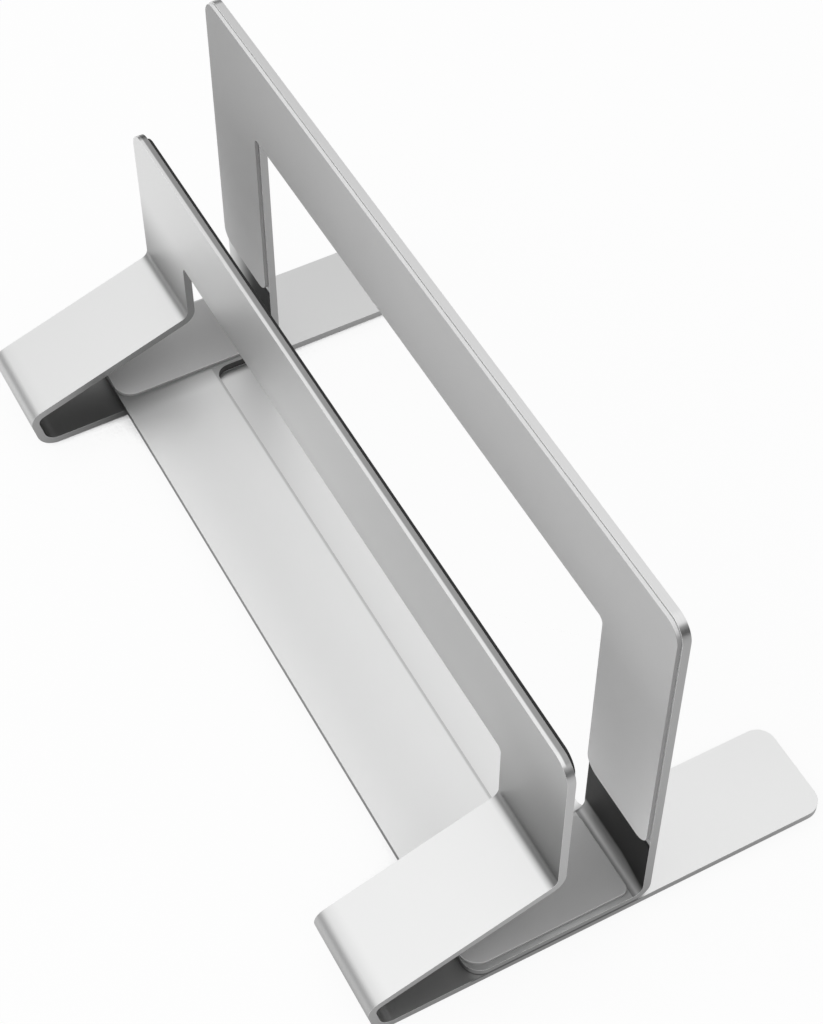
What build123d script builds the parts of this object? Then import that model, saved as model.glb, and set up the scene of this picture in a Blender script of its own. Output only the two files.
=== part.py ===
from build123d import *
import os
from math import hypot

# Vertical laptop stand made of two folded aluminium sheets. A low front bracket carries a tall rear
# frame, which slides on it to fit thin or thick laptops and is clamped by four screws from below.
# Millimetres. X runs along the stand, Y runs from the front panel to the rear frame, Z is up.
# The origin is the middle of the footprint, on the surface that the stand rests on.
# While the pieces are made, Y is zero at the outer face of the front panel.

# Whole stand
stand_length = 210.0
sheet = 2.0                   # thickness of both folded sheets
laptop_slot = 19.0            # from pad to pad, as the stand is set here

# Front bracket: rear feet, ground strips, rolled nose, sloping straps and front panel in one sheet
strap_width = 25.2            # of each strap, ground strip and foot
panel_height = 71.0           # heights of the bracket start at the underside of its ground strips
panel_corner = 5.5
window_head = 45.0            # lower edge of the panel between the straps
window_corner = 1.5
strap_height = 27.4           # where a strap's upper face meets the panel
crease_radius = 2.5
nose_top_reach = 45.8         # the nose's two folds, measured to their sharp corners
nose_top_height = 11.8
nose_top_radius = 2.0
nose_foot_reach = 43.4
nose_foot_radius = 3.7
foot_reach = 72.3             # from the panel's outer face to the back of the feet
foot_corner = 4.5
tie_front = 12.0              # the tie plate joins the ground strips under the rear frame
tie_back = 23.0
tie_corner = 3.0

# Rear frame: beam, legs and flange in one sheet
frame_height = 103.5          # from the underside of the ground strips
frame_corner = 5.0
beam_height = 26.0
leg_width = 25.0
beam_corner = 1.5
frame_bend_radius = 2.5
flange_reach = 20.2           # how far the flange comes forward of the panel
flange_strip = 26.0           # the unbroken front strip of the flange
flange_corner = 4.5
recess_corner = 3.5

# Pads that keep the laptop off the metal
pad_thickness = 1.0
panel_pad_top_margin = 0.7
panel_pad_end_margin = 2.0
panel_pad_foot_margin = 1.0
panel_pad_corner = 4.5
frame_pad_margin = 0.3
frame_pad_foot = 24.2         # the legs are bare metal below this height
frame_pad_foot_corner = 4.0
seat_pad_margin = 1.25
seat_pad_front_corner = 5.0
seat_pad_back_corner = 2.0

# Feet under the ground strips
foot_pad_thickness = 2.0
foot_pad_width = 19.0
foot_pad_corner = 3.0
front_foot_pad_length = 13.0
front_foot_pad_reach = 37.0
back_foot_pad_length = 18.0
back_foot_pad_inset = 3.5

# Slide: screws in the flange ride in slots of the ground strips
travel_closed = 6.0           # from the setting here to the narrowest slot
travel_open = 10.0            # and to the widest
screw_diameter = 3.0
screw_places = {"front": -12.0, "back": 10.0}
slot_play = 0.6
screw_head_diameter = 7.0
screw_head_height = 1.1
screw_key = 2.0               # across the flats of the hexagon socket
screw_key_depth = 0.7
washer_diameter = 8.0
washer_thickness = 0.5
nut_collar_diameter = 6.6     # the collar lies in a step of the flange and takes the pull
nut_collar_height = 0.8
nut_body_diameter = 4.8
nut_body_height = 1.1
thread_play = 0.03
nut_play = 0.02

# Places that follow from the sizes above
half_length = stand_length / 2
strap_inner_x = half_length - strap_width
leg_inner_x = half_length - leg_width
strip_under_z = foot_pad_thickness
strip_top_z = strip_under_z + sheet
flange_top_z = strip_top_z + sheet
seat_top_z = flange_top_z + pad_thickness
panel_inner_y = sheet
frame_front_y = panel_inner_y + pad_thickness + laptop_slot + pad_thickness
frame_back_y = frame_front_y + sheet
panel_top_z = strip_under_z + panel_height
window_head_z = strip_under_z + window_head
frame_top_z = strip_under_z + frame_height
beam_under_z = frame_top_z - beam_height
flange_front_y = -flange_reach
recess_front_y = flange_front_y + flange_strip
far_out = stand_length        # a cutter's reach past the part


def sides(corners):
    """Unit directions of the straight runs between corners."""
    runs = []
    for (y0, z0), (y1, z1) in zip(corners, corners[1:]):
        run = hypot(y1 - y0, z1 - z0)
        runs.append(((y1 - y0) / run, (z1 - z0) / run))
    return runs


def offset_corners(corners, distance):
    """The same open run of corners, moved to its left by a distance."""
    normals = [(-dz, dy) for dy, dz in sides(corners)]
    moved = []
    for (y, z), before, after in zip(corners, normals[:1] + normals, normals + normals[-1:]):
        stretch = distance / (1 + before[0] * after[0] + before[1] * after[1])
        moved.append((y + (before[0] + after[0]) * stretch, z + (before[1] + after[1]) * stretch))
    return moved


def folded_sheet(right_face, radii):
    """A sheet folded along X: its section lies left of the given corners, with inner bend radii."""
    left_face = offset_corners(right_face, sheet)
    runs = sides(right_face)
    right_radii, left_radii = [], []
    for (ay, az), (by, bz), radius in zip(runs, runs[1:], radii):
        turns_left = ay * bz - az * by > 0
        right_radii.append(radius + sheet if turns_left else radius)
        left_radii.append(radius if turns_left else radius + sheet)
    outline = [
        bent_line(right_face, right_radii),
        Line(right_face[-1], left_face[-1]),
        bent_line(left_face, left_radii),
        Line(left_face[0], right_face[0]),
    ]
    return extrude(Plane.YZ * make_face(outline), amount=half_length, both=True)


def bent_line(corners, radii):
    """A run of corners with each one rounded by its own radius."""
    return FilletPolyline(*corners, radius=radii)


def through_y(sketch, y_from, y_to):
    """A prism along Y whose section is drawn in X and Z."""
    return Pos(0, y_to, 0) * extrude(Plane.XZ * sketch, amount=y_to - y_from)


def plan_prism(sketch, z_from, z_to):
    """A prism along Z whose section is drawn in X and Y."""
    return Pos(0, 0, z_from) * extrude(sketch, amount=z_to - z_from)


def rectangle_between(x0, x1, v0, v1):
    """A rectangle given by its sides."""
    return Pos((x0 + x1) / 2, (v0 + v1) / 2) * Rectangle(x1 - x0, v1 - v0)


def corners_at(sketch, high):
    """The corners of a sketch on its high or low side."""
    return sketch.vertices().group_by(Axis.Y)[-1 if high else 0]


def screw_x(side):
    """Where the screws of one side stand, in the middle of a tongue of the flange."""
    return side * (half_length - leg_width / 2)


def make_front_bracket():
    """The folded sheet with the front panel, both straps, the ground strips and the feet."""
    strap_top_z = strip_under_z + strap_height
    nose_top_z = strip_under_z + nose_top_height
    outer_face = [
        (0, panel_top_z),
        (0, strap_top_z),
        (-nose_top_reach, nose_top_z),
        (-nose_foot_reach, strip_under_z),
        (foot_reach, strip_under_z),
    ]
    bends = [crease_radius, nose_top_radius, nose_foot_radius]
    bracket = folded_sheet(outer_face, bends)

    window = rectangle_between(-strap_inner_x, strap_inner_x, strip_top_z, window_head_z)
    window = fillet(corners_at(window, True), window_corner)
    bracket -= through_y(window, -far_out, panel_inner_y + sheet)

    front_gap = rectangle_between(-strap_inner_x, strap_inner_x, -far_out, -tie_front)
    front_gap = fillet(corners_at(front_gap, True), tie_corner)
    back_gap = rectangle_between(-strap_inner_x, strap_inner_x, tie_back, far_out)
    back_gap = fillet(corners_at(back_gap, False), tie_corner)
    bracket -= plan_prism(front_gap + back_gap, 0, strip_top_z + sheet)

    slot_length = travel_closed + travel_open
    slot_width = screw_diameter + slot_play
    for side in (-1, 1):
        for place in screw_places.values():
            middle = place + (travel_open - travel_closed) / 2
            slot = Pos(screw_x(side), middle) * Rot(0, 0, 90) * SlotCenterToCenter(slot_length, slot_width)
            bracket -= plan_prism(slot, 0, strip_top_z + sheet)

    panel_ends = bracket.edges().filter_by(Axis.Y).group_by(Axis.Z)[-1]
    bracket = fillet(panel_ends, panel_corner)
    foot_ends = bracket.edges().filter_by(Axis.Z).group_by(Axis.Y)[-1]
    return fillet(foot_ends, foot_corner)


def make_rear_frame():
    """The folded sheet with the tall frame and the flange that lies on the ground strips."""
    back_face = [
        (flange_front_y, strip_top_z),
        (frame_back_y, strip_top_z),
        (frame_back_y, frame_top_z),
    ]
    frame = folded_sheet(back_face, [frame_bend_radius])

    window = rectangle_between(-leg_inner_x, leg_inner_x, 0, beam_under_z)
    window = fillet(corners_at(window, True), beam_corner)
    bend_start_y = frame_front_y - frame_bend_radius
    frame -= through_y(window, bend_start_y, far_out)

    recess = rectangle_between(-leg_inner_x, leg_inner_x, recess_front_y, far_out)
    recess = fillet(corners_at(recess, False), recess_corner)
    frame -= plan_prism(recess, 0, seat_top_z)

    for side in (-1, 1):
        for place in screw_places.values():
            at_nut = Pos(screw_x(side), place)
            hole = at_nut * Circle(nut_body_diameter / 2 + nut_play)
            step = at_nut * Circle(nut_collar_diameter / 2 + nut_play)
            frame -= plan_prism(hole, strip_under_z, seat_top_z)
            frame -= plan_prism(step, flange_top_z - nut_collar_height, seat_top_z)

    frame_ends = frame.edges().filter_by(Axis.Y).group_by(Axis.Z)[-1]
    frame = fillet(frame_ends, frame_corner)
    flange_ends = frame.edges().filter_by(Axis.Z).group_by(Axis.Y)[0]
    return fillet(flange_ends, flange_corner)


def make_panel_pad():
    """The strip of silicone on the inner face of the front panel."""
    reach = half_length - panel_pad_end_margin
    low = window_head_z + panel_pad_foot_margin
    high = panel_top_z - panel_pad_top_margin
    strip = rectangle_between(-reach, reach, low, high)
    strip = fillet(corners_at(strip, True), panel_pad_corner)
    return through_y(strip, panel_inner_y, panel_inner_y + pad_thickness)


def make_frame_pad():
    """The silicone on the front of the beam and down both legs, in one piece."""
    reach = half_length - frame_pad_margin
    inner = leg_inner_x + frame_pad_margin
    low = strip_under_z + frame_pad_foot
    high = frame_top_z - frame_pad_margin
    sheet_outline = rectangle_between(-reach, reach, low, high)
    sheet_outline = fillet(corners_at(sheet_outline, True), frame_corner - frame_pad_margin)
    opening = rectangle_between(-inner, inner, 0, beam_under_z + frame_pad_margin)
    opening = fillet(corners_at(opening, True), beam_corner)
    outline = sheet_outline - opening
    outline = fillet(corners_at(outline, False), frame_pad_foot_corner)
    return through_y(outline, frame_front_y - pad_thickness, frame_front_y)


def make_seat_pad(side):
    """The pad on one tongue of the flange, which the laptop stands on."""
    inner = leg_inner_x + seat_pad_margin
    outer = half_length - seat_pad_margin
    x0, x1 = sorted((side * inner, side * outer))
    pad = rectangle_between(x0, x1, flange_front_y, frame_front_y - frame_bend_radius)
    pad = fillet(corners_at(pad, False), seat_pad_front_corner)
    pad = fillet(corners_at(pad, True), seat_pad_back_corner)
    return plan_prism(pad, flange_top_z, seat_top_z)


def make_foot_pad(side, front):
    """One silicone foot under a ground strip."""
    if front:
        y0 = -front_foot_pad_reach
        y1 = y0 + front_foot_pad_length
    else:
        y1 = foot_reach - back_foot_pad_inset
        y0 = y1 - back_foot_pad_length
    middle_x = side * (half_length - strap_width / 2)
    pad = Pos(middle_x, (y0 + y1) / 2) * RectangleRounded(foot_pad_width, y1 - y0, foot_pad_corner)
    return plan_prism(pad, 0, foot_pad_thickness)


def make_screw(x, y):
    """A low-head clamp screw, its head below the ground strip and its tip in the nut."""
    head_top = strip_under_z - washer_thickness
    head_under = head_top - screw_head_height
    head = plan_prism(Circle(screw_head_diameter / 2), head_under, head_top)
    shank = plan_prism(Circle(screw_diameter / 2), head_top, flange_top_z - thread_play)
    socket = plan_prism(
        RegularPolygon(screw_key / 2, 6, major_radius=False), head_under, head_under + screw_key_depth
    )
    return Pos(x, y, 0) * (head + shank - socket)


def make_washer(x, y):
    """The washer that spans the slot under the ground strip."""
    ring = Circle(washer_diameter / 2) - Circle(screw_diameter / 2 + thread_play)
    return Pos(x, y, 0) * plan_prism(ring, strip_under_z - washer_thickness, strip_under_z)


def make_nut(x, y):
    """The collared nut pressed flush into the top of the flange."""
    collar_under = flange_top_z - nut_collar_height
    collar = plan_prism(Circle(nut_collar_diameter / 2), collar_under, flange_top_z)
    body = plan_prism(Circle(nut_body_diameter / 2), collar_under - nut_body_height, collar_under)
    bore = plan_prism(Circle(screw_diameter / 2 + thread_play), strip_under_z, seat_top_z)
    return Pos(x, y, 0) * (collar + body - bore)


def make_nodes():
    """Every piece of the stand by name."""
    nodes = {
        "front_bracket": make_front_bracket(),
        "rear_frame": make_rear_frame(),
        "panel_pad": make_panel_pad(),
        "frame_pad": make_frame_pad(),
    }
    for side_name, side in (("left", -1), ("right", 1)):
        nodes[f"seat_pad_{side_name}"] = make_seat_pad(side)
        nodes[f"foot_pad_front_{side_name}"] = make_foot_pad(side, True)
        nodes[f"foot_pad_back_{side_name}"] = make_foot_pad(side, False)
        for place_name, place in screw_places.items():
            where = f"{place_name}_{side_name}"
            nodes[f"clamp_screw_{where}"] = make_screw(screw_x(side), place)
            nodes[f"washer_{where}"] = make_washer(screw_x(side), place)
            nodes[f"flush_nut_{where}"] = make_nut(screw_x(side), place)
    return nodes


nodes = make_nodes()
footprint = nodes["front_bracket"].bounding_box()
middle_y = (footprint.min.Y + footprint.max.Y) / 2
os.makedirs("parts", exist_ok=True)
for name, solid in nodes.items():
    export_step(Pos(0, -middle_y, 0) * solid, f"parts/{name}.step")
print("nodes", len(nodes), "footprint middle at", round(middle_y, 3), "from the panel's outer face")
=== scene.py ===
# %% [markdown]
# # A vertical laptop stand in folded aluminium
#
# The stand is made of two folded sheets. The front bracket carries the low front panel, and the rear
# frame slides on it to fit thin or thick laptops. Grey silicone keeps the laptop off the metal.
# This lesson dresses the solid model of the stand: it folds the sheets again with soft edges, lays
# the pads on them, sets the fasteners underneath, and gives every surface its finish.
# Lengths are written in millimetres and become metres when a piece is finished.

from math import ceil, cos, pi, radians, sin, tan

import bmesh
import bpy
from mathutils import Matrix, Vector


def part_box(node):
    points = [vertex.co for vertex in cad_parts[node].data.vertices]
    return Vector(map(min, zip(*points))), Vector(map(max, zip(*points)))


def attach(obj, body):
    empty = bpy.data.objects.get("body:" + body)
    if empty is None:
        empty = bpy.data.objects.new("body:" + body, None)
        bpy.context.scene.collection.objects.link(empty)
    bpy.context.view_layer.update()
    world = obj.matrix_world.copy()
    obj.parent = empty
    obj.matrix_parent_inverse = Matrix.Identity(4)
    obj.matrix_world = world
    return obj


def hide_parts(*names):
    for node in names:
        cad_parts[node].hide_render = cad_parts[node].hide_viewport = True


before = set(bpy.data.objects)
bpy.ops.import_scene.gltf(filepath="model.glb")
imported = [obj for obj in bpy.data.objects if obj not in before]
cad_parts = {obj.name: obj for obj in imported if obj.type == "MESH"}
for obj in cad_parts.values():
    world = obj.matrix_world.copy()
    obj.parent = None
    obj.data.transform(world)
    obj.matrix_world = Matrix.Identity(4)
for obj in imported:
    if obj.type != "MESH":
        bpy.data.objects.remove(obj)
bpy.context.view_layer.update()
mm = 0.001

# %% [markdown]
# ## Sizes
#
# Most places come from the boxes of the solid pieces, so that the dressed pieces lie exactly where
# the solid ones do. What a box can't tell, such as a radius or the height of a fold, is written here.


# %% Places of the solid pieces
def corners_of(node):
    """The lowest and highest corner of a solid piece, in millimetres."""
    low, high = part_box(node)
    return low / mm, high / mm


bracket_low, bracket_high = corners_of("front_bracket")
frame_low, frame_high = corners_of("rear_frame")
panel_pad_low, panel_pad_high = corners_of("panel_pad")
frame_pad_low, frame_pad_high = corners_of("frame_pad")
seat_low, seat_high = corners_of("seat_pad_right")

sheet = 2.0
half_length = bracket_high.x
panel_y = panel_pad_low.y - sheet
panel_top = bracket_high.z
ground_z = bracket_low.z
laptop_slot = frame_pad_low.y - panel_pad_high.y
print("panel at y", round(panel_y, 2), "and a laptop slot", round(laptop_slot, 2), "mm wide")

# %% Sizes that no box gives
strap_width = 25.2
panel_corner = 5.5
window_head = 45.0
window_corner = 1.5
strap_height = 27.4
crease_radius = 2.5
nose_top_reach = 45.8
nose_top_height = 11.8
nose_top_radius = 2.0
nose_foot_reach = 43.4
nose_foot_radius = 3.7
foot_corner = 4.5
tie_front = -12.0
tie_back = 23.0
tie_corner = 3.0

leg_width = 25.0
leg_inner = half_length - leg_width
beam_height = 26.0
beam_corner = 1.5
frame_corner = 5.0
frame_bend_radius = 2.5
flange_strip = 26.0
flange_corner = 4.5
recess_corner = 3.5

panel_pad_corner = 4.5
frame_pad_margin = 0.3
frame_pad_foot_corner = 4.0
seat_front_corner = 5.0
seat_back_corner = 2.0
foot_pad_corner = 3.0

screw_rows = (-12.0, 10.0)
slot_ends = (-6.0, 10.0)
slot_width = 3.6
nut_seat_diameter = 6.64

edge_round = 0.5
frame_edge_round = 0.35
pad_edge_round = 0.22
turn_step = radians(6)

# %% [markdown]
# ## Outlines
#
# A flat blank is an outline with round corners and some openings. One function rounds the corners of
# any run of points, so it serves the blanks, the pads and the line that a sheet is folded along.


# %% Round the corners of an outline
def round_corners(corners, radii, closed=True):
    """The same run of points with each corner turned into an arc of its own radius."""
    points = []
    last = len(corners) - 1
    for index, (place, radius) in enumerate(zip(corners, radii)):
        corner = Vector(place)
        if radius == 0 or (not closed and index in (0, last)):
            points.append(corner)
            continue
        back = (Vector(corners[index - 1]) - corner).normalized()
        ahead = (Vector(corners[(index + 1) % len(corners)]) - corner).normalized()
        half_angle = back.angle(ahead) / 2
        centre = corner + (back + ahead).normalized() * (radius / sin(half_angle))
        spoke = corner + back * (radius / tan(half_angle)) - centre
        turn = pi - 2 * half_angle
        if back.cross(ahead) > 0:
            turn = -turn
        steps = max(2, ceil(abs(turn) / turn_step))
        for step in range(steps + 1):
            points.append(centre + Matrix.Rotation(turn * step / steps, 2) @ spoke)
    return points


def rectangle(x0, x1, s0, s1, low_radius=0.0, high_radius=0.0):
    """A rectangle with its own corner radius on the low and on the high side."""
    corners = [(x0, s0), (x1, s0), (x1, s1), (x0, s1)]
    return round_corners(corners, [low_radius, low_radius, high_radius, high_radius])


slot_roundness = 0.999
seat_roundness = 0.9998


def slot_outline(x, s0, s1, width, roundness=slot_roundness):
    """A long hole with round ends; a roundness just under 1 keeps two arcs from sharing a point."""
    half = width / 2
    return rectangle(x - half, x + half, s0 - half, s1 + half, half * roundness, half * roundness)


# %% [markdown]
# ## Blanks
#
# A sheet starts flat on the real machine too: a laser cuts the blank and a press folds it. Here the
# blank lies in X and Y, where Y is the distance along the sheet. The fill makes triangles, the fold
# lines cut them, and a limited dissolve joins them again between the lines. Clean faces between the
# folds are what lets the bevel run round the edges without a flaw.


# %% Cut a blank
touching = 1e-4
flat_enough = radians(0.5)


def cut_blank(outlines, fold_lines=()):
    """A flat mesh inside the first outline and outside the others, cut across at each fold line."""
    flat = bmesh.new()
    for outline in outlines:
        ring = [flat.verts.new((x, s, 0)) for x, s in outline]
        for start, end in zip(ring, ring[1:] + ring[:1]):
            flat.edges.new((start, end))
    bmesh.ops.triangle_fill(flat, use_beauty=True, edges=flat.edges[:])
    for line in fold_lines:
        everything = flat.verts[:] + flat.edges[:] + flat.faces[:]
        cut = bmesh.ops.bisect_plane(
            flat, geom=everything, dist=touching, plane_co=(0, line, 0), plane_no=(0, 1, 0)
        )
        for item in cut["geom_cut"]:
            if isinstance(item, bmesh.types.BMEdge):
                item.seam = True
    bmesh.ops.dissolve_limit(
        flat, angle_limit=flat_enough, verts=flat.verts, edges=flat.edges, delimit={"SEAM"}
    )
    for face in flat.faces:
        if face.normal.z < 0:
            face.normal_flip()
    mesh = bpy.data.meshes.new("blank")
    flat.to_mesh(mesh)
    flat.free()
    return mesh


# %% [markdown]
# ## The fold
#
# Geometry Nodes do the work of the press brake. The tree reads how far along the sheet each point of
# the blank lies, finds that distance on a rail, and lifts the point half a thickness to one side. The
# blank is extruded first, so its top goes to one face of the sheet and its base to the other, and the
# rim between them keeps a finish of its own. A straight rail gives a flat pad with the same tree.


# %% A small writer of node trees
class NodeWriter:
    """Adds nodes to a tree and joins them."""

    def __init__(self, tree):
        self.tree = tree

    def add(self, kind, settings=None, inputs=None):
        """A new node with its settings made first, then the values or links of its sockets."""
        node = self.tree.nodes.new(kind)
        for name, value in (settings or {}).items():
            setattr(node, name, value)
        for name, value in (inputs or {}).items():
            socket = node.inputs[name]
            if isinstance(value, bpy.types.NodeSocket):
                self.tree.links.new(value, socket)
            else:
                socket.default_value = value
        return node


def new_tree(name, inputs):
    """A geometry tree with named inputs: the writer, its input node and its output node."""
    tree = bpy.data.node_groups.new(name, "GeometryNodeTree")
    tree.is_modifier = True
    tree.interface.new_socket("Geometry", in_out="INPUT", socket_type="NodeSocketGeometry")
    for label, kind in inputs.items():
        tree.interface.new_socket(label, in_out="INPUT", socket_type=kind)
    tree.interface.new_socket("Geometry", in_out="OUTPUT", socket_type="NodeSocketGeometry")
    writer = NodeWriter(tree)
    return writer, writer.add("NodeGroupInput"), writer.add("NodeGroupOutput")


# %% The folding tree
weld_distance = 1e-3


def folding_tree():
    """Folds a flat blank along a rail and gives it its thickness."""
    writer, given, result = new_tree("fold along a rail", {
        "Rail": "NodeSocketObject",
        "Thickness": "NodeSocketFloat",
        "Left face": "NodeSocketMaterial",
        "Right face": "NodeSocketMaterial",
        "Rim": "NodeSocketMaterial",
    })
    add = writer.add
    rail = add("GeometryNodeObjectInfo", inputs={"Object": given.outputs["Rail"]})
    place = add("ShaderNodeSeparateXYZ", inputs={0: add("GeometryNodeInputPosition").outputs[0]})
    on_rail = add(
        "GeometryNodeSampleCurve",
        {"mode": "LENGTH", "use_all_curves": True},
        {"Curves": rail.outputs["Geometry"], "Length": place.outputs["Y"]},
    )
    side = add(
        "ShaderNodeVectorMath", {"operation": "CROSS_PRODUCT"},
        {0: (1, 0, 0), 1: on_rail.outputs["Tangent"]},
    )
    across = add("ShaderNodeCombineXYZ", inputs={"X": place.outputs["X"]})
    middle = add(
        "ShaderNodeVectorMath", {"operation": "ADD"},
        {0: across.outputs[0], 1: on_rail.outputs["Position"]},
    )
    half = add("ShaderNodeMath", {"operation": "MULTIPLY"}, {0: given.outputs["Thickness"], 1: 0.5})
    minus = add("ShaderNodeMath", {"operation": "MULTIPLY"}, {0: half.outputs[0], 1: -1.0})

    def folded(geometry, height):
        lift = add(
            "ShaderNodeVectorMath", {"operation": "SCALE"}, {0: side.outputs[0], "Scale": height}
        )
        spot = add(
            "ShaderNodeVectorMath", {"operation": "ADD"}, {0: middle.outputs[0], 1: lift.outputs[0]}
        )
        return add("GeometryNodeSetPosition", inputs={
            "Geometry": geometry, "Position": spot.outputs[0],
        })

    extruded = add(
        "GeometryNodeExtrudeMesh", {"mode": "FACES"},
        {"Mesh": given.outputs["Geometry"], "Offset Scale": 0.0, "Individual": False},
    )
    height = add(
        "GeometryNodeSwitch", {"input_type": "FLOAT"},
        {"Switch": extruded.outputs["Top"], "False": minus.outputs[0], "True": half.outputs[0]},
    )
    upper = folded(extruded.outputs["Mesh"], height.outputs[0])
    faced = add(
        "GeometryNodeSetMaterial",
        inputs={"Geometry": upper.outputs[0], "Material": given.outputs["Left face"]},
    )
    rimmed = add("GeometryNodeSetMaterial", inputs={
        "Geometry": faced.outputs[0],
        "Selection": extruded.outputs["Side"],
        "Material": given.outputs["Rim"],
    })
    flipped = add("GeometryNodeFlipFaces", inputs={"Mesh": given.outputs["Geometry"]})
    lower = folded(flipped.outputs[0], minus.outputs[0])
    backed = add(
        "GeometryNodeSetMaterial",
        inputs={"Geometry": lower.outputs[0], "Material": given.outputs["Right face"]},
    )
    joined = add("GeometryNodeJoinGeometry")
    writer.tree.links.new(rimmed.outputs[0], joined.inputs[0])
    writer.tree.links.new(backed.outputs[0], joined.inputs[0])
    welded = add("GeometryNodeMergeByDistance", inputs={
        "Geometry": joined.outputs[0], "Distance": weld_distance,
    })
    writer.tree.links.new(welded.outputs[0], result.inputs[0])
    return writer.tree


fold_tree = folding_tree()
print("folding tree:", len(fold_tree.nodes), "nodes")


# %% Run a tree on an object
def set_input(modifier, label, value):
    """Sets a modifier's input by the identifier of the socket with that label."""
    for item in modifier.node_group.interface.items_tree:
        if item.in_out == "INPUT" and item.name == label:
            modifier[item.identifier] = value


def add_tree(thing, tree, values):
    """Puts a tree on an object with its inputs set."""
    modifier = thing.modifiers.new(tree.name, "NODES")
    modifier.node_group = tree
    for label, value in values.items():
        set_input(modifier, label, value)
    return modifier


def new_object(name, data):
    """An object in the scene."""
    thing = bpy.data.objects.new(name, data)
    bpy.context.scene.collection.objects.link(thing)
    return thing


def bake_modifiers(thing):
    """Turns what the modifiers make into the object's own mesh."""
    seen = thing.evaluated_get(bpy.context.evaluated_depsgraph_get())
    mesh = bpy.data.meshes.new_from_object(seen)
    thing.modifiers.clear()
    thing.data = mesh
    return thing


# %% [markdown]
# ## From blank to finished sheet
#
# The folded sheet gets a bevel, because the real edges are tumbled round before the sheet is blasted
# and anodised, and a sharp edge never catches the light. Weighted normals then keep the large faces
# flat and let only the rounds and the bends shade smoothly.


# %% Fold, round and place a sheet
def rail_object(points):
    """A curve of straight pieces through points given in Y and Z."""
    curve = bpy.data.curves.new("rail", "CURVE")
    curve.dimensions = "3D"
    spline = curve.splines.new("POLY")
    spline.points.add(len(points) - 1)
    for point, (y, z) in zip(spline.points, points):
        point.co = (0, y, z, 1)
    return new_object("rail", curve)


def lengths_along(points):
    """How far along its run each point lies."""
    total, lengths = 0.0, [0.0]
    for start, end in zip(points, points[1:]):
        total += (Vector(end) - Vector(start)).length
        lengths.append(total)
    return lengths


def shade_smooth(piece):
    """Smooth shading has to be on before the normals are weighted, because they are kept against it."""
    for polygon in piece.data.polygons:
        polygon.use_smooth = True


bevel_segments = 3
sharp_enough = radians(40)


def make_sheet(name, outlines, rail_points, thickness, rounding, finishes):
    """A finished sheet or pad; its finishes are for its left face, right face, rim and soft edges."""
    left_face, right_face, rim, *edge = finishes
    lengths = lengths_along(rail_points)
    piece = new_object(name, cut_blank(outlines, lengths[1:-1]))
    rail = rail_object(rail_points)
    add_tree(piece, fold_tree, {
        "Rail": rail,
        "Thickness": thickness,
        "Left face": left_face,
        "Right face": right_face,
        "Rim": rim,
    })
    bake_modifiers(piece)
    bpy.data.objects.remove(rail)
    shade_smooth(piece)
    bevel = piece.modifiers.new("soft edges", "BEVEL")
    bevel.width = rounding
    bevel.segments = bevel_segments
    bevel.limit_method = "ANGLE"
    bevel.angle_limit = sharp_enough
    if edge:
        piece.data.materials.append(edge[0])
        bevel.material = len(piece.data.materials) - 1
    weighted = piece.modifiers.new("flat faces stay flat", "WEIGHTED_NORMAL")
    weighted.mode = "FACE_AREA"
    bake_modifiers(piece)
    return in_metres(piece)


def in_metres(piece):
    """Scales a piece that was made in millimetres."""
    piece.data.transform(Matrix.Scale(mm, 4))
    return piece


def hand_over(piece, body, slot, *nodes):
    """The piece rides on its body and stands for its solid pieces."""
    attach(piece, body)
    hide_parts(*nodes)
    low, high = (Vector(corner) for corner in (piece.bound_box[0], piece.bound_box[6]))
    size = [round(side / mm, 1) for side in high - low]
    print(piece.name, len(piece.data.polygons), "faces", size, "mm")
    return piece


# %% [markdown]
# ## Finishes
#
# Shader maths reads best as plain sums, so a small class wraps a socket and lets it be added,
# subtracted and multiplied. A finish is a material with one shader, and its patterns sit on the
# object's own coordinates, which are metres, so a grain is as large as it is on the real sheet.


# %% Sums on sockets
class Value:
    """A socket of a material that can be used in sums."""

    def __init__(self, writer, socket):
        self.writer = writer
        self.socket = socket

    def sum_with(self, operation, first, second):
        sockets = {
            place: side.socket if isinstance(side, Value) else side
            for place, side in enumerate((first, second))
        }
        node = self.writer.add("ShaderNodeMath", {"operation": operation}, sockets)
        return Value(self.writer, node.outputs[0])

    def __add__(self, other):
        return self.sum_with("ADD", self, other)

    def __sub__(self, other):
        return self.sum_with("SUBTRACT", self, other)

    def __rsub__(self, other):
        return self.sum_with("SUBTRACT", other, self)

    def __mul__(self, other):
        return self.sum_with("MULTIPLY", self, other)

    def size(self):
        """The value without its sign."""
        return self.sum_with("ABSOLUTE", self, 0.0)

    def ramp(self, start, end):
        """A soft step from 0 at the start to 1 at the end."""
        node = self.writer.add(
            "ShaderNodeMapRange", {"interpolation_type": "SMOOTHSTEP"},
            {"Value": self.socket, "From Min": start, "From Max": end},
        )
        return Value(self.writer, node.outputs[0])

    __radd__ = __add__
    __rmul__ = __mul__


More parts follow.
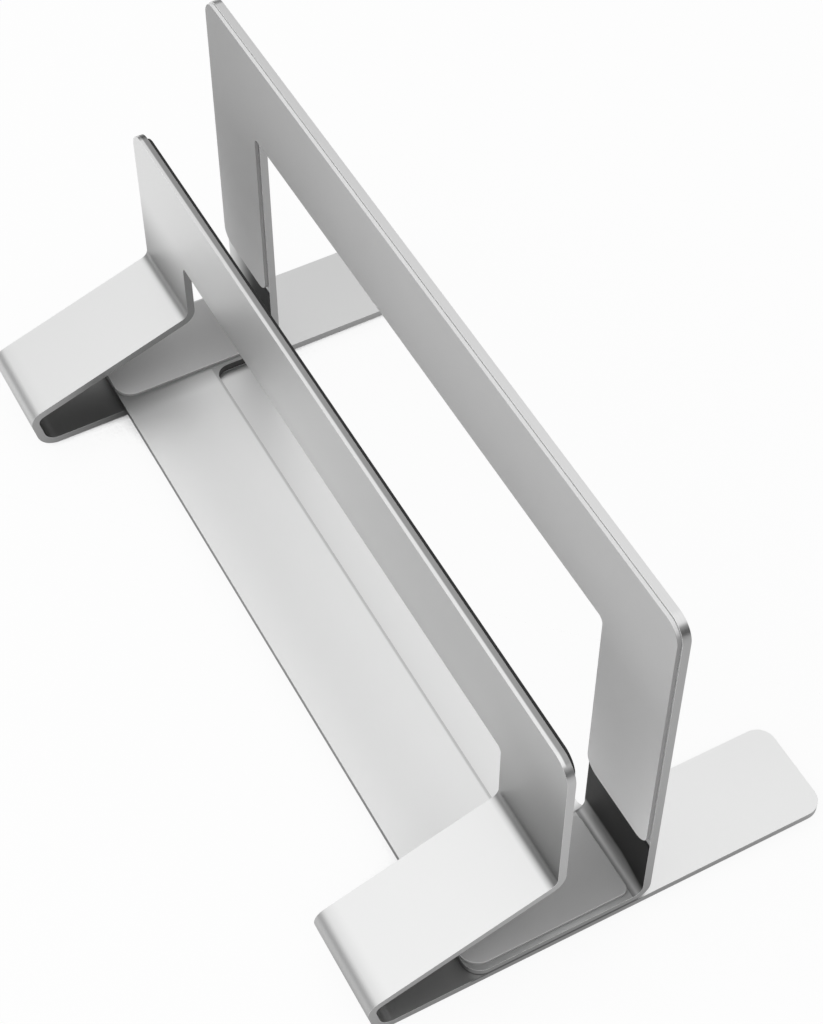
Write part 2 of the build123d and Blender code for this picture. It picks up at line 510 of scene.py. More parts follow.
# %% A finish
class Finish:
    """A material being written, with its main shader."""

    def __init__(self, name):
        self.material = bpy.data.materials.new(name)
        self.material.use_nodes = True
        self.writer = NodeWriter(self.material.node_tree)
        self.shader = self.material.node_tree.nodes["Principled BSDF"]
        coordinates = self.writer.add("ShaderNodeTexCoord")
        self.place = coordinates.outputs["Object"]

    def value(self, node, output=0):
        """An output of a node, ready for sums."""
        return Value(self.writer, node.outputs[output])

    def axes(self):
        """Where a point lies along X, Y and Z, in millimetres."""
        in_millimetres = self.stretched((1 / mm, 1 / mm, 1 / mm))
        split = self.writer.add("ShaderNodeSeparateXYZ", inputs={0: in_millimetres})
        return [self.value(split, axis) for axis in range(3)]

    def facing_up(self):
        """One on a surface that faces up, and 0 on one that stands or faces down."""
        geometry = self.writer.add("ShaderNodeNewGeometry")
        split = self.writer.add("ShaderNodeSeparateXYZ", inputs={0: geometry.outputs["Normal"]})
        return self.value(split, 2).ramp(0.4, 0.8)

    def stretched(self, scales):
        """The place on the object, stretched along the axes."""
        node = self.writer.add(
            "ShaderNodeVectorMath", {"operation": "MULTIPLY"}, {0: self.place, 1: scales}
        )
        return node.outputs[0]

    def noise(self, scale, detail=2.0, place=None):
        """Soft noise from 0 to 1, with about this many lumps in a metre."""
        node = self.writer.add(
            "ShaderNodeTexNoise", {}, {"Vector": place or self.place, "Scale": scale, "Detail": detail}
        )
        return self.value(node)

    def tint(self, colour, change):
        """A colour made lighter or darker by a value round 1."""
        node = self.writer.add("ShaderNodeVectorMath", {"operation": "SCALE"}, {0: colour})
        self.writer.tree.links.new(change.socket, node.inputs["Scale"])
        return node.outputs[0]

    def bump(self, height, depth):
        """Normals of a relief whose height runs from 0 to 1 over a real depth in metres."""
        node = self.writer.add(
            "ShaderNodeBump", {}, {"Height": height.socket, "Distance": depth, "Strength": 1.0}
        )
        return node.outputs["Normal"]

    def set(self, **sockets):
        """Sets or links the shader's sockets, named with _ for a space."""
        for name, value in sockets.items():
            socket = self.shader.inputs[name.replace("_", " ")]
            if isinstance(value, Value):
                value = value.socket
            if isinstance(value, bpy.types.NodeSocket):
                self.writer.tree.links.new(value, socket)
            else:
                socket.default_value = value
        return self.material


# %% [markdown]
# ### Blasted and anodised aluminium
#
# Glass beads leave a skin of tiny dents about a tenth of a millimetre wide, and the clear anodising
# over it dulls every reflection to a soft glow. So the metal is fully metallic, its roughness is
# middling and drifts a little, and a very shallow relief breaks the highlights on the bends.

# %% Satin aluminium
aluminium_colour = (0.86, 0.862, 0.86)
rim_colour = (0.48, 0.48, 0.48)
# The tumbled edges are painted paler than the faces: a painted highlight.
edge_highlight_colour = (0.95, 0.95, 0.95)
satin_roughness = 0.36
flange_roughness = 0.5
dents_in_a_metre = 9000
dent_depth = 4e-6
line_depth = 6e-6
cut_line_scales = (60, 5200, 60)


def satin_aluminium(name, shade=None, roughness=satin_roughness):
    """Bead-blasted and clear anodised sheet; the shade darkens it in its corners."""
    finish = Finish(name)
    dents = finish.noise(dents_in_a_metre, 1.0)
    clouds = finish.noise(28, 3.0)
    change = 0.975 + dents * 0.03 + clouds * 0.02
    if shade:
        change = change * shade(finish)
    return finish.set(
        Base_Color=finish.tint(aluminium_colour, change),
        Metallic=1.0,
        Roughness=roughness + clouds * 0.06 + dents * 0.04,
        Normal=finish.bump(dents, dent_depth),
    )


def rim_aluminium(name, shade):
    """The cut edge of the sheet, with the fine lines that the cut and the tumbling leave along it."""
    finish = Finish(name)
    lines = finish.noise(1.0, 2.0, finish.stretched(cut_line_scales))
    dents = finish.noise(dents_in_a_metre, 1.0)
    return finish.set(
        Base_Color=finish.tint(rim_colour, (0.93 + lines * 0.1 + dents * 0.02) * shade(finish)),
        Metallic=1.0,
        Roughness=0.3 + lines * 0.12,
        Normal=finish.bump(lines, line_depth),
    )


def edge_aluminium(name, shade):
    """The tumbled edge between face and rim: truly rough, and painted paler as a painted highlight, so
    it shows as a pale line.
    """
    finish = Finish(name)
    dents = finish.noise(7000, 2.0)
    return finish.set(
        Base_Color=finish.tint(edge_highlight_colour, (0.94 + dents * 0.1) * shade(finish)),
        Metallic=0.45,
        Roughness=0.5 + dents * 0.1,
        Normal=finish.bump(dents, line_depth),
    )


# %% [markdown]
# ### Shade in the corners
#
# A path tracer finds most of the shade in a fold, but the photographed metal is darker still where two
# sheets meet: in the hollow of the nose, in the crease, at the bare foot of each leg and along the
# recess. That extra darkness is painted shade in the metal's colour, and a few places get painted
# light or a painted highlight instead. Each shade is made of patches with soft sides on the object's
# coordinates, so it stays with the metal from every side. A patch is 1 where it is strongest, and
# takes its share of the light.

# %% Places on the folded sheets
strap_inner = half_length - strap_width
nose_front = panel_y - nose_top_reach
nose_top_z = ground_z + nose_top_height
crease_z = ground_z + strap_height
window_z = ground_z + window_head
joint_z = ground_z + sheet
flange_z = frame_low.z + sheet
recess_front = frame_low.y + flange_strip
joint_share = 0.7


def shaded(*patches):
    """How much light is left where each patch takes its share."""
    light = 1.0
    for patch, share in patches:
        light = (1.0 - patch * share) * light
    return light


# %% Faces of the front bracket
def hollow_shade(finish):
    """Dark inside the nose, at the ends of the tie plate, and a little on the left rear foot."""
    x, y, z = finish.axes()
    tie = 1.0 - x.size().ramp(strap_inner - 0.4, strap_inner)
    hollow = (1.0 - y.ramp(panel_y - 8, panel_y + 4)) * (1.0 - tie)
    corner = x.size().ramp(strap_inner - 3, strap_inner) * tie
    left_foot = y.ramp(frame_high.y, frame_high.y + 3) * (1.0 - x.ramp(-half_length, 0))
    towards_flange = y.ramp(panel_y - nose_foot_reach, frame_low.y)
    hollow_share = 0.59 - x.ramp(-strap_inner, strap_inner) * 0.23 + towards_flange * 0.15
    return shaded((hollow, hollow_share), (corner, 0.5), (left_foot, 0.15))


def crease_shade(finish):
    """Painted shade in the crease, on the nose, a little towards the right, and on the panel towards
    its right end and foot; elsewhere the panel is painted a little paler.
    """
    x, y, z = finish.axes()
    to_the_right = x.ramp(-half_length, half_length)
    on_panel = y.ramp(panel_y - 2.6, panel_y)
    crease = (1.0 - z.ramp(crease_z, crease_z + 24)) * on_panel
    crease_share = 0.54 - to_the_right * 0.22
    nose = 1.0 - y.ramp(nose_front, nose_front + 6.5)
    nose_share = 0.12 + x.ramp(0, half_length) * 0.16
    right_foot = (1.0 - z.ramp(window_z, panel_top)) * x.ramp(half_length - 35, half_length) * on_panel
    # The panel is painted a little paler, and painted shade darkens it towards its right end.
    panel_painted_shading = 1.0 + on_panel * 0.08 - x.ramp(-half_length, half_length * 0.6) * on_panel * 0.36
    corners = shaded((nose, nose_share), (crease, crease_share), (right_foot, 0.38))
    return corners * shaded((to_the_right, 0.06)) * panel_painted_shading


# %% Cut edges of the front bracket
def joint_line(y, z):
    """One where the flange lies on the ground strips, because no light gets into the joint."""
    behind_its_front = y.ramp(frame_low.y - 0.5, frame_low.y + 0.5)
    before_the_bend = 1.0 - y.ramp(frame_high.y - 3, frame_high.y - 1)
    return (1.0 - (z - joint_z).size().ramp(0.2, 0.6)) * behind_its_front * before_the_bend


def inward_shade(x, y, z):
    """Darker on the edges that look in at each other, and in the joint under the flange."""
    inward = 1.0 - x.size().ramp(strap_inner + 0.2, strap_inner + 0.6)
    below_panel = 1.0 - z.ramp(window_z, window_z + 1)
    before_feet = 1.0 - y.ramp(frame_high.y, frame_high.y + 4)
    share = 0.05 + y.ramp(nose_front, panel_y - 12) * 0.48
    return shaded((inward * below_panel * before_feet, share), (joint_line(y, z), joint_share))


def along_the_top(y, z):
    """Where the panel's top edge is, and which half of it is the front one, which gets a painted
    highlight.
    """
    top = z.ramp(panel_top - 1.2, panel_top - 0.6)
    front = 1.0 - y.ramp(panel_y + 0.6, panel_y + 1.0)
    return top, front


def bracket_rim_shade(finish):
    """Painted light makes the rims paler on the panel, whose top edge has a painted highlight in front
    and painted shade behind.
    """
    x, y, z = finish.axes()
    top, front = along_the_top(y, z)
    shade = inward_shade(x, y, z) * (1.0 + z.ramp(nose_top_z, crease_z) * 0.18)
    return shade * shaded((top, 0.4)) * (1.0 + top * front * 1.5)


def bracket_edge_shade(finish):
    """The tumbled edge follows the rim that it borders, but has a painted highlight on top of the
    straps.
    """
    x, y, z = finish.axes()
    top, front = along_the_top(y, z)
    strap_edge_highlight = finish.facing_up() * z.ramp(nose_top_z - 3, nose_top_z)
    shade = inward_shade(x, y, z)
    return (shade + (1.1 - shade) * strap_edge_highlight) * shaded((top * (1.0 - front), 0.4))


# %% Faces and cut edges of the rear frame
# The whole flange is painted paler by this much: painted light.
flange_painted_light = 1.12


def recess_edge(x, y, z):
    """One along the recess in the flange, where painted shade draws a line at the step down to the tie
    plate.
    """
    across = 1.0 - x.size().ramp(leg_inner + 0.3, leg_inner + 0.7)
    on_flange = 1.0 - z.ramp(flange_z + 0.3, flange_z + 1.0)
    return y.ramp(recess_front - 0.9, recess_front - 0.4) * across * on_flange


def flange_shade(finish):
    """Painted shade at the bare foot of each leg and on the flange beside and behind the seat pads,
    with painted light over the whole flange.
    """
    x, y, z = finish.axes()
    lower_at_the_end = x.ramp(half_length - 10, half_length) * 2.0
    above_bend = (z + lower_at_the_end).ramp(flange_z + 2.0, flange_z + 4.5)
    below_pad = 1.0 - z.ramp(frame_pad_low.z, frame_pad_low.z + 0.4)
    contact = z.ramp(frame_pad_low.z - 1.6, frame_pad_low.z - 0.4) * below_pad
    beside_pad = x.size().ramp(seat_low.x - 7, seat_low.x) * (1.0 - above_bend)
    bare_foot = above_bend * below_pad * x.ramp(-half_length, -half_length + 16)
    past_pad = y - seat_high.y
    behind_pad = past_pad.ramp(0, 0.2) * (1.0 - past_pad.ramp(0.6, 1.4))
    dark = shaded((bare_foot, 0.93), (contact, 0.6), (beside_pad, 0.38), (behind_pad, 0.5))
    return dark * shaded((recess_edge(x, y, z), 0.3)) * flange_painted_light


def frame_rim_shade(finish):
    """Painted light along the top of the frame, and painted shade along the recess and in the joint."""
    x, y, z = finish.axes()
    top = z.ramp(frame_high.z - 1.2, frame_high.z - 0.6)
    return (0.9 + top * 0.7) * shaded((recess_edge(x, y, z), 0.8), (joint_line(y, z), joint_share))


def frame_edge_shade(finish):
    """Dark in the joint under the flange and along the recess."""
    x, y, z = finish.axes()
    return shaded((joint_line(y, z), joint_share), (recess_edge(x, y, z), 0.65))


# %% The metal finishes
# The inner, outer and flange faces, the rims and the edges carry painted shade, painted light and
# painted highlights.
inner_aluminium = satin_aluminium("inner_aluminium", hollow_shade)
outer_aluminium = satin_aluminium("outer_aluminium", crease_shade)
flange_aluminium = satin_aluminium("flange_aluminium", flange_shade, flange_roughness)
plain_aluminium = satin_aluminium("plain_aluminium")
bracket_rim = rim_aluminium("bracket_rim", bracket_rim_shade)
frame_rim = rim_aluminium("frame_rim", frame_rim_shade)
bracket_edge = edge_aluminium("bracket_edge", bracket_edge_shade)
frame_edge = edge_aluminium("frame_edge", frame_edge_shade)
print("the finish of the inner face has", len(inner_aluminium.node_tree.nodes), "nodes")

# %% [markdown]
# ### Silicone
#
# The pads are die-cut from grey silicone sheet. Its face is matt with a fine tooth, and its cut side
# is darker where it stands; where the cut side faces up it is painted paler, as painted light. The
# faces of the frame pad and the seat pads carry painted light and painted shade. The side of the
# panel's pad is nearly black, and draws a dark line along the top of the panel.

# %% Grey silicone
silicone_colour = (0.52, 0.52, 0.52)
silicone_side_colour = (0.33, 0.33, 0.33)
dark_side_colour = (0.02, 0.02, 0.02)
foot_colour = (0.16, 0.16, 0.163)
face_roughness = 0.5
side_roughness = 0.6
foot_roughness = 0.55
tooth_depth = 8e-6


def silicone(name, colour, roughness, change=None):
    """Matt rubber with a fine tooth; the change makes it lighter or darker from place to place."""
    finish = Finish(name)
    tooth = finish.noise(5200, 2.0)
    clouds = finish.noise(40, 2.0)
    shade = 0.95 + tooth * 0.05 + clouds * 0.05
    if change:
        shade = shade * change(finish)
    return finish.set(
        Base_Color=finish.tint(colour, shade),
        Roughness=roughness + tooth * 0.1,
        Specular_IOR_Level=0.35,
        Normal=finish.bump(tooth, tooth_depth),
    )


def paler_low_down(finish):
    """Painted light makes the frame pad paler towards its foot, and painted shade darkens its left end.
    """
    x, y, z = finish.axes()
    up_the_leg = z.ramp(frame_pad_low.z, panel_top)
    off_the_left = x.ramp(-half_length, 0)
    return (1.68 - up_the_leg * 0.67) * (0.74 + off_the_left * 0.26)


def painted_light_on_top(finish):
    """Painted light: a cut side that faces up is painted about twice as pale as one that stands."""
    return 1.0 + finish.facing_up() * 1.05


def even_under_straps(finish):
    """Painted light on the left pad in front, under its strap, fading to painted shade behind it, and
    painted shade on the right pad in its open corner.
    """
    x, y, z = finish.axes()
    on_left_pad = 1.0 - x.ramp(-strap_inner, strap_inner)
    paler = on_left_pad * (0.26 - y.ramp(seat_low.y, seat_high.y) * 0.42)
    open_corner = x.ramp(strap_inner, half_length) * y.ramp(seat_low.y, seat_high.y - 10)
    return 1.0 + paler - open_corner * 0.25


pad_face = silicone("silicone_face", silicone_colour, face_roughness)
seat_face = silicone("silicone_seat_face", silicone_colour, face_roughness, even_under_straps)
frame_pad_face = silicone("silicone_frame_face", silicone_colour, face_roughness, paler_low_down)
pad_side = silicone("silicone_side", silicone_side_colour, side_roughness, painted_light_on_top)
dark_side = silicone("silicone_dark_side", dark_side_colour, side_roughness)
foot_rubber = silicone("foot_silicone", foot_colour, foot_roughness)
print("the pads' faces:", pad_face.name, seat_face.name, frame_pad_face.name)


# %% Fastener steel
steel_colour = (0.56, 0.56, 0.55)
mark_depth = 3e-6


def fastener_steel():
    """Bright plated steel with turning marks too fine to follow."""
    finish = Finish("fastener_steel")
    marks = finish.noise(2600, 3.0)
    return finish.set(
        Base_Color=finish.tint(steel_colour, 0.92 + marks * 0.12),
        Metallic=1.0,
        Roughness=0.25 + marks * 0.15,
        Normal=finish.bump(marks, mark_depth),
    )


steel = fastener_steel()

# %% [markdown]
# ## The front bracket
#
# One sheet makes the panel, the two straps, the rounded nose, the ground strips and the rear feet.
# Its rail is the middle of the sheet: the outer face is drawn as sharp corners, moved in by half a
# thickness, and rounded with the bend radii plus that half.


# %% Move a run of corners to its left
def moved_left(corners, distance):
    """The same open run of corners, moved sideways by a distance."""
    points = [Vector(corner) for corner in corners]
    runs = [(end - start).normalized() for start, end in zip(points, points[1:])]
    normals = [Vector((-run.y, run.x)) for run in runs]
    moved = []
    for point, before, after in zip(points, normals[:1] + normals, normals + normals[-1:]):
        moved.append(point + (before + after) * (distance / (1 + before.dot(after))))
    return moved


# %% Rail of the front bracket
bracket_face = [
    (panel_y, panel_top),
    (panel_y, crease_z),
    (nose_front, nose_top_z),
    (panel_y - nose_foot_reach, ground_z),
    (bracket_high.y, ground_z),
]
bend_radii = [crease_radius, nose_top_radius, nose_foot_radius]
middle_radii = [0] + [radius + sheet / 2 for radius in bend_radii] + [0]
bracket_rail = round_corners(moved_left(bracket_face, sheet / 2), middle_radii, closed=False)
bracket_length = lengths_along(bracket_rail)[-1]
print("front bracket's blank is", round(bracket_length, 1), "mm long before it is folded")


# %% Blank of the front bracket
def ground_s(y):
    """Where a place on the ground strips lies on the blank; y counts from the panel."""
    return bracket_length - (bracket_high.y - (panel_y + y))


bracket_outline = round_corners(
    [
        (-half_length, 0), (half_length, 0),
        (half_length, bracket_length), (strap_inner, bracket_length),
        (strap_inner, ground_s(tie_back)), (-strap_inner, ground_s(tie_back)),
        (-strap_inner, bracket_length), (-half_length, bracket_length),
    ],
    [panel_corner] * 2 + [foot_corner] * 2 + [tie_corner] * 2 + [foot_corner] * 2,
)
bracket_window = rectangle(
    -strap_inner, strap_inner, panel_top - window_z, ground_s(tie_front), window_corner, tie_corner
)
screw_x = half_length - leg_width / 2
screw_slots = [
    slot_outline(side * screw_x, ground_s(row + slot_ends[0]), ground_s(row + slot_ends[1]), slot_width)
    for side in (-1, 1) for row in screw_rows
]
bracket = make_sheet(
    "front_bracket_sheet", [bracket_outline, bracket_window, *screw_slots], bracket_rail,
    sheet, edge_round, (inner_aluminium, outer_aluminium, bracket_rim, bracket_edge),
)
hand_over(bracket, "bracket", "satin_aluminium", "front_bracket")

# %% [markdown]
# ## The rear frame
#
# The tall frame and its flange are one sheet with a single bend. The opening starts in the flange as
# a recess, runs up through the bend and ends under the beam.

# %% Rail and blank of the rear frame
frame_face = [(frame_low.y, frame_low.z), (frame_high.y, frame_low.z), (frame_high.y, frame_high.z)]
frame_rail = round_corners(
    moved_left(frame_face, sheet / 2), [0, frame_bend_radius + sheet / 2, 0], closed=False
)
frame_length = lengths_along(frame_rail)[-1]
print("rear frame's blank is", round(frame_length, 1), "mm long before it is folded")
frame_outline = rectangle(-half_length, half_length, 0, frame_length, flange_corner, frame_corner)
frame_window = rectangle(
    -leg_inner, leg_inner, flange_strip, frame_length - beam_height, recess_corner, beam_corner
)
seat_places = [panel_y + row - frame_low.y for row in screw_rows]
nut_seats = [
    slot_outline(side * screw_x, place, place, nut_seat_diameter, seat_roundness)
    for side in (-1, 1) for place in seat_places
]
rear = make_sheet(
    "rear_frame_sheet", [frame_outline, frame_window, *nut_seats], frame_rail,
    sheet, frame_edge_round, (flange_aluminium, plain_aluminium, frame_rim, frame_edge),
)
hand_over(rear, "frame", "satin_aluminium", "rear_frame")

# %% [markdown]
# ## Pads
#
# Each pad is a blank laid along a straight rail. The rail runs so that the pad's face is on its left:
# down the panel, up the frame, and back along the flange.


# %% Panel pad and frame pad
def straight_rail(start, end):
    """A rail with no bend."""
    return [Vector(start), Vector(end)]


def height_of(low, high):
    """How tall a box is."""
    return high.z - low.z


pad_thickness = panel_pad_high.y - panel_pad_low.y
panel_pad_middle = (panel_pad_low.y + panel_pad_high.y) / 2
panel_pad_outline = rectangle(
    panel_pad_low.x, panel_pad_high.x, 0, height_of(panel_pad_low, panel_pad_high), panel_pad_corner
)
panel_pad = make_sheet(
    "panel_pad_silicone", [panel_pad_outline],
    straight_rail((panel_pad_middle, panel_pad_high.z), (panel_pad_middle, panel_pad_low.z)),
    pad_thickness, pad_edge_round, (pad_face, pad_face, dark_side),
)
hand_over(panel_pad, "bracket", "grey_silicone", "panel_pad")

pad_inner = leg_inner + frame_pad_margin
pad_height = height_of(frame_pad_low, frame_pad_high)
pad_opening = pad_height - (beam_height - 2 * frame_pad_margin)
frame_pad_outline = round_corners(
    [
        (frame_pad_low.x, 0), (-pad_inner, 0), (-pad_inner, pad_opening),
        (pad_inner, pad_opening), (pad_inner, 0), (frame_pad_high.x, 0),
        (frame_pad_high.x, pad_height), (frame_pad_low.x, pad_height),
    ],
    [frame_pad_foot_corner] * 2 + [beam_corner] * 2 + [frame_pad_foot_corner] * 2
    + [frame_corner - frame_pad_margin] * 2,
)
frame_pad_middle = (frame_pad_low.y + frame_pad_high.y) / 2
frame_pad = make_sheet(
    "frame_pad_silicone", [frame_pad_outline],
    straight_rail((frame_pad_middle, frame_pad_low.z), (frame_pad_middle, frame_pad_high.z)),
    pad_thickness, pad_edge_round, (frame_pad_face, pad_face, pad_side),
)
hand_over(frame_pad, "frame", "grey_silicone", "frame_pad")

# %% Seat pads
for side_name in ("left", "right"):
    node = f"seat_pad_{side_name}"
    low, high = corners_of(node)
    middle = (low.z + high.z) / 2
    seat = make_sheet(
        f"{node}_silicone",
        [rectangle(low.x, high.x, 0, high.y - low.y, seat_front_corner, seat_back_corner)],
        straight_rail((low.y, middle), (high.y, middle)),
        pad_thickness, pad_edge_round, (seat_face, pad_face, pad_side),
    )
    hand_over(seat, "frame", "grey_silicone", node)

# %% Foot pads
foot_edge_round = 0.4
foot_nodes = [f"foot_pad_{row}_{side}" for row in ("front", "back") for side in ("left", "right")]
foot_boxes = [corners_of(node) for node in foot_nodes]
foot_start = min(low.y for low, high in foot_boxes)
foot_end = max(high.y for low, high in foot_boxes)
foot_thickness = foot_boxes[0][1].z - foot_boxes[0][0].z
foot_outlines = [
    rectangle(low.x, high.x, low.y - foot_start, high.y - foot_start, foot_pad_corner, foot_pad_corner)
    for low, high in foot_boxes
]
feet = make_sheet(
    "foot_pads_silicone", foot_outlines,
    straight_rail((foot_start, foot_thickness / 2), (foot_end, foot_thickness / 2)),
    foot_thickness, foot_edge_round, (foot_rubber, foot_rubber, foot_rubber),
)
hand_over(feet, "bracket", "foot_silicone", *foot_nodes)

# %% [markdown]
# ## Fasteners
#
# The clamp screws, their washers and the nuts in the flange are turned parts, so each is a profile
# spun round its axis. The same tree stands all four of a kind on a grid of two by two points.


# %% Spin a profile
spin_steps = 36


def spun(name, profile):
    """A turned part: rings of (radius, height), where a ring marked hex is six-sided."""
    part = bmesh.new()
    rings = []
    for radius, height, *shape in profile:
        ring = []
        for step in range(spin_steps):
            angle = 2 * pi * step / spin_steps
            reach = radius
            if shape:
                reach = radius / cos((angle + pi / 6) % (pi / 3) - pi / 6)
            ring.append(part.verts.new((reach * cos(angle), reach * sin(angle), height)))
        rings.append(ring)
    for lower, upper in zip(rings, rings[1:]):
        for step in range(spin_steps):
            follow = (step + 1) % spin_steps
            part.faces.new((lower[step], lower[follow], upper[follow], upper[step]))
    if profile[0] != profile[-1]:
        part.faces.new(rings[0][::-1])
        part.faces.new(rings[-1])
    bmesh.ops.remove_doubles(part, verts=part.verts, dist=touching)
    bmesh.ops.recalc_face_normals(part, faces=part.faces)
    mesh = bpy.data.meshes.new(name)
    part.to_mesh(mesh)
    part.free()
    return new_object(name, mesh)


# %% The tree that stands parts on a grid
def grid_tree():
    """Copies one turned part to the four corners of a rectangle."""
    writer, given, result = new_tree("stand on four points", {
        "Part": "NodeSocketObject",
        "Across": "NodeSocketFloat",
        "Along": "NodeSocketFloat",
        "Middle": "NodeSocketVector",
        "Finish": "NodeSocketMaterial",
    })
    add = writer.add
    part = add("GeometryNodeObjectInfo", inputs={"Object": given.outputs["Part"]})
    grid = add("GeometryNodeMeshGrid", inputs={
        "Size X": given.outputs["Across"],
        "Size Y": given.outputs["Along"],
        "Vertices X": 2,
        "Vertices Y": 2,
    })
    placed = add("GeometryNodeTransform", inputs={
        "Geometry": grid.outputs["Mesh"], "Translation": given.outputs["Middle"],
    })
    copies = add("GeometryNodeInstanceOnPoints", inputs={
        "Points": placed.outputs[0], "Instance": part.outputs["Geometry"],
    })
    real = add("GeometryNodeRealizeInstances", inputs={"Geometry": copies.outputs[0]})
    painted = add("GeometryNodeSetMaterial", inputs={
        "Geometry": real.outputs[0], "Material": given.outputs["Finish"],
    })
    writer.tree.links.new(painted.outputs[0], result.inputs[0])
    return writer.tree


four_tree = grid_tree()
fastener_sides = ("front_left", "front_right", "back_left", "back_right")
turned_edge = radians(35)


def four_of(name, profile, kind):
    """Four copies of a turned part in place of the solid ones of its kind."""
    part = spun(f"{name}_one", profile)
    piece = new_object(name, bpy.data.meshes.new(name))
    add_tree(piece, four_tree, {
        "Part": part,
        "Across": 2 * screw_x,
        "Along": screw_rows[1] - screw_rows[0],
        "Middle": (0.0, panel_y + sum(screw_rows) / 2, 0.0),
        "Finish": steel,
    })
    bake_modifiers(piece)
    bpy.data.objects.remove(part)
    shade_smooth(piece)
    piece.data.set_sharp_from_angle(angle=turned_edge)
    weighted = piece.modifiers.new("flat faces stay flat", "WEIGHTED_NORMAL")
    weighted.keep_sharp = True
    bake_modifiers(piece)
    in_metres(piece)
    nodes = [f"{kind}_{side}" for side in fastener_sides]
    return hand_over(piece, "frame", "steel_fastener", *nodes)


# %% Screws, washers and nuts
screw_low, screw_high = corners_of("clamp_screw_front_right")
washer_low, washer_high = corners_of("washer_front_right")
nut_low, nut_high = corners_of("flush_nut_front_right")
head_radius = (screw_high.x - screw_low.x) / 2
shank_radius = 1.5
socket_apothem = 1.0
socket_depth = 0.7
head_round = 0.25
round_inset = head_round * 0.3

four_of("clamp_screws", [
    (0, screw_low.z + socket_depth),
    (socket_apothem, screw_low.z + socket_depth, "hex"),
    (socket_apothem, screw_low.z, "hex"),
    (head_radius - head_round, screw_low.z),
    (head_radius - round_inset, screw_low.z + round_inset),
    (head_radius, screw_low.z + head_round),
    (head_radius, washer_low.z),
    (shank_radius, washer_low.z),
    (shank_radius, screw_high.z - head_round),
    (shank_radius - head_round, screw_high.z),
    (0, screw_high.z),
], "clamp_screw")

washer_radius = (washer_high.x - washer_low.x) / 2
washer_round = 0.1
bore_gap = 0.03
bore_radius = shank_radius + bore_gap
washer_profile = [
    (bore_radius, washer_low.z),
    (washer_radius - washer_round, washer_low.z),
    (washer_radius, washer_low.z + washer_round),
    (washer_radius, washer_high.z),
    (bore_radius, washer_high.z),
]
four_of("clamp_washers", washer_profile + washer_profile[:1], "washer")

collar_radius = (nut_high.x - nut_low.x) / 2
collar_height = 0.8
nut_body_radius = 2.4
nut_profile = [
    (bore_radius, nut_low.z),
    (nut_body_radius, nut_low.z),
    (nut_body_radius, nut_high.z - collar_height),
    (collar_radius, nut_high.z - collar_height),
    (collar_radius, nut_high.z),
    (bore_radius, nut_high.z),
]
four_of("flush_nuts", nut_profile + nut_profile[:1], "flush_nut")

# %% [markdown]
# ## Camera
#
# The stand is seen from above its front right corner, from so near that its far end looks much
# smaller. The camera stands where the edges of the real stand meet those of the picture.

# %% Place the camera
target = Vector((9.745, 2.82, 39.277)) * mm
camera_turn = radians(61.755)
camera_height = radians(51.716)
camera_distance = 521.356 * mm
back = Vector((
    sin(camera_turn) * cos(camera_height), -cos(camera_turn) * cos(camera_height), sin(camera_height),
))
lens = bpy.data.cameras.new("camera")
lens.lens = 79.248
lens.sensor_width = 36.0
lens.clip_start = 0.01
camera = new_object("camera", lens)
camera.location = target + back * camera_distance
camera.rotation_euler = (-back).to_track_quat("-Z", "Y").to_euler()
bpy.context.scene.camera = camera
print("camera at", [round(side / mm) for side in camera.location], "mm")

# %% [markdown]
# ## Floor and light
#
# The stand is on a white table, with one wide, soft lamp in front of it and above. The room is bright
# overhead and dim at the horizon, except for a paler wall in front, which the rounded nose mirrors.
# The floor glows for the camera and in reflections, so it is white without more light on the metal.
# To the camera it is dark only where the stand covers it, as in the slots. In reflections its glow
# already fades close to the stand, where a real table lies in its shadow, and that is what gives the
# folds and the foot of the frame their dark reflections.


# %% Floor
floor_colour = (0.8, 0.8, 0.8, 1)
shade_reach = 0.07
shade_depth = 0.9
mirrored_floor = 0.85
camera_glow = 0.92
covered_loss = 0.95
floor_half = 4.0
floor_z = -0.02 * mm


def white_floor():
    """A floor that looks white with a soft shadow, dark where covered and dimmer in reflections."""
    finish = Finish("white_floor")
    add = finish.writer.add
    path = add("ShaderNodeLightPath")
    camera_ray = Value(finish.writer, path.outputs["Is Camera Ray"])
    glossy_ray = Value(finish.writer, path.outputs["Is Glossy Ray"])
    openness = add("ShaderNodeAmbientOcclusion", {"samples": 4}, {"Distance": shade_reach})
    shade = 1.0 - Value(finish.writer, openness.outputs["AO"])
    covered = shade.ramp(0.8, 1.0)
    glow = add("ShaderNodeEmission", inputs={"Color": (1, 1, 1, 1)})
    mirrored_loss = glossy_ray * (shade * shade_depth + (1.0 - mirrored_floor))
    strength = 1.0 - mirrored_loss - camera_ray * covered * covered_loss
    finish.writer.tree.links.new(strength.socket, glow.inputs["Strength"])
    finish.set(Base_Color=floor_colour, Roughness=0.8, Specular_IOR_Level=0.1)
    glowing = camera_ray * camera_glow + glossy_ray
    mixed = add("ShaderNodeMixShader", inputs={
        0: glowing.socket, 1: finish.shader.outputs[0], 2: glow.outputs[0],
    })
    surface = finish.material.node_tree.nodes["Material Output"].inputs["Surface"]
    finish.writer.tree.links.new(mixed.outputs[0], surface)
    return finish.material


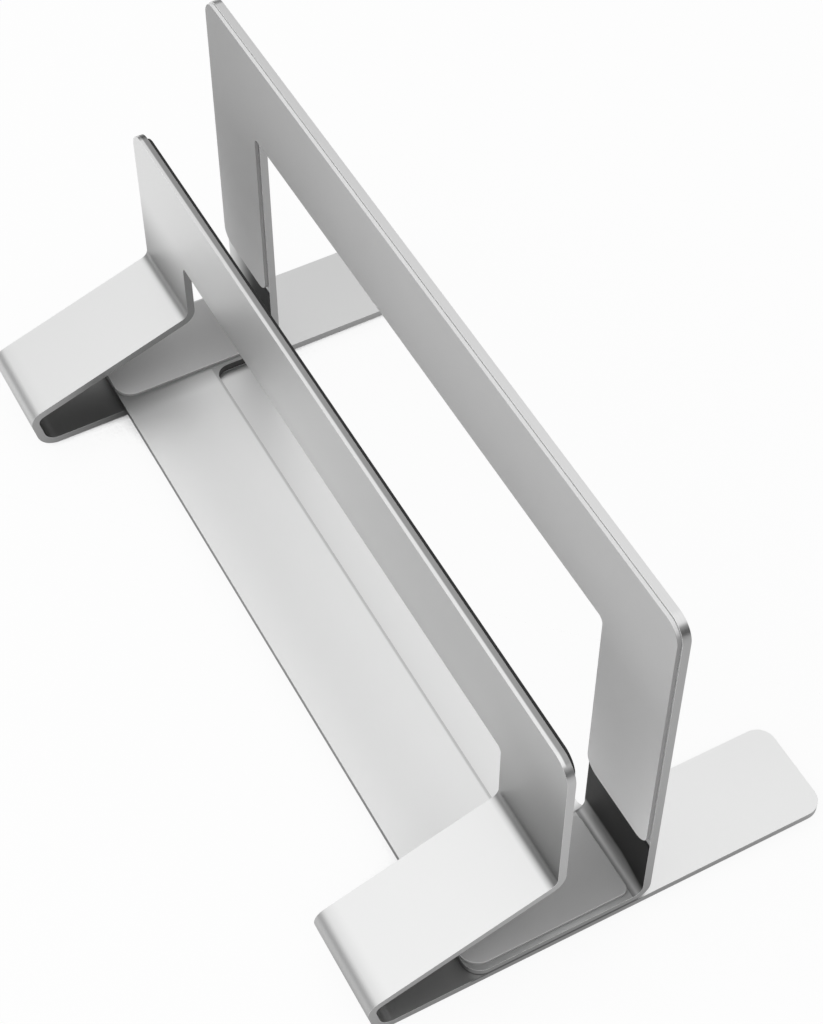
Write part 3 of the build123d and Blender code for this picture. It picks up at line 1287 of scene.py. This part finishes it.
floor_mesh = bpy.data.meshes.new("floor")
floor_corners = [
    (x * floor_half, y * floor_half, floor_z) for x, y in ((-1, -1), (1, -1), (1, 1), (-1, 1))
]
floor_mesh.from_pydata(floor_corners, [], [(0, 1, 2, 3)])
floor_mesh.materials.append(white_floor())
floor = new_object("floor", floor_mesh)

# %% Lamp, whose level is the brightness of its face
lamp_place = Vector((0.1, -0.72, 0.95))
lamp_aim = Vector((0, 0, 0.04))
lamp_size = 1.8
lamp_level = 0.56
lamp = bpy.data.lights.new("front_box", "AREA")
lamp.shape = "SQUARE"
lamp.size = lamp_size
lamp.energy = lamp_level * pi * lamp_size * lamp_size
front_lamp = new_object("front_box", lamp)
front_lamp.location = lamp_place
front_lamp.rotation_euler = (lamp_aim - lamp_place).to_track_quat("-Z", "Y").to_euler()
front_lamp.visible_glossy = False
print("lamp of", round(lamp.energy, 2), "watts")

# %% Room
horizon_level = 0.08
overhead_level = 1.15
sky_start = 0.25
sky_end = 0.85
front_lift = 0.22
front_wall_level = 0.3
front_wall_start = -0.4
front_wall_end = -0.9


def pale_room():
    """A room that is white to the camera, bright overhead, paler in front and dim behind."""
    world = bpy.data.worlds.new("room")
    world.use_nodes = True
    writer = NodeWriter(world.node_tree)
    direction = writer.add("ShaderNodeTexCoord")
    split = writer.add("ShaderNodeSeparateXYZ", inputs={0: direction.outputs["Generated"]})
    sky = writer.add("ShaderNodeMapRange", {"interpolation_type": "SMOOTHSTEP"}, {
        "Value": split.outputs["Z"],
        "From Min": sky_start,
        "From Max": sky_end,
        "To Min": horizon_level,
        "To Max": overhead_level,
    })
    towards_back = Value(writer, split.outputs["Y"])
    front = 1.0 - towards_back * front_lift
    front_wall = (1.0 - towards_back.ramp(front_wall_end, front_wall_start)) * front_wall_level
    path = writer.add("ShaderNodeLightPath")
    camera_ray = Value(writer, path.outputs["Is Camera Ray"])
    mirrored = Value(writer, sky.outputs[0]) * front + front_wall
    level = camera_ray + (1.0 - camera_ray) * mirrored
    background = world.node_tree.nodes["Background"]
    background.inputs["Color"].default_value = (1, 1, 1, 1)
    world.node_tree.links.new(level.socket, background.inputs["Strength"])
    return world


room = pale_room()
bpy.context.scene.world = room
print("room's light:", len(room.node_tree.nodes), "nodes")
bpy.context.scene.view_settings.view_transform = "Standard"
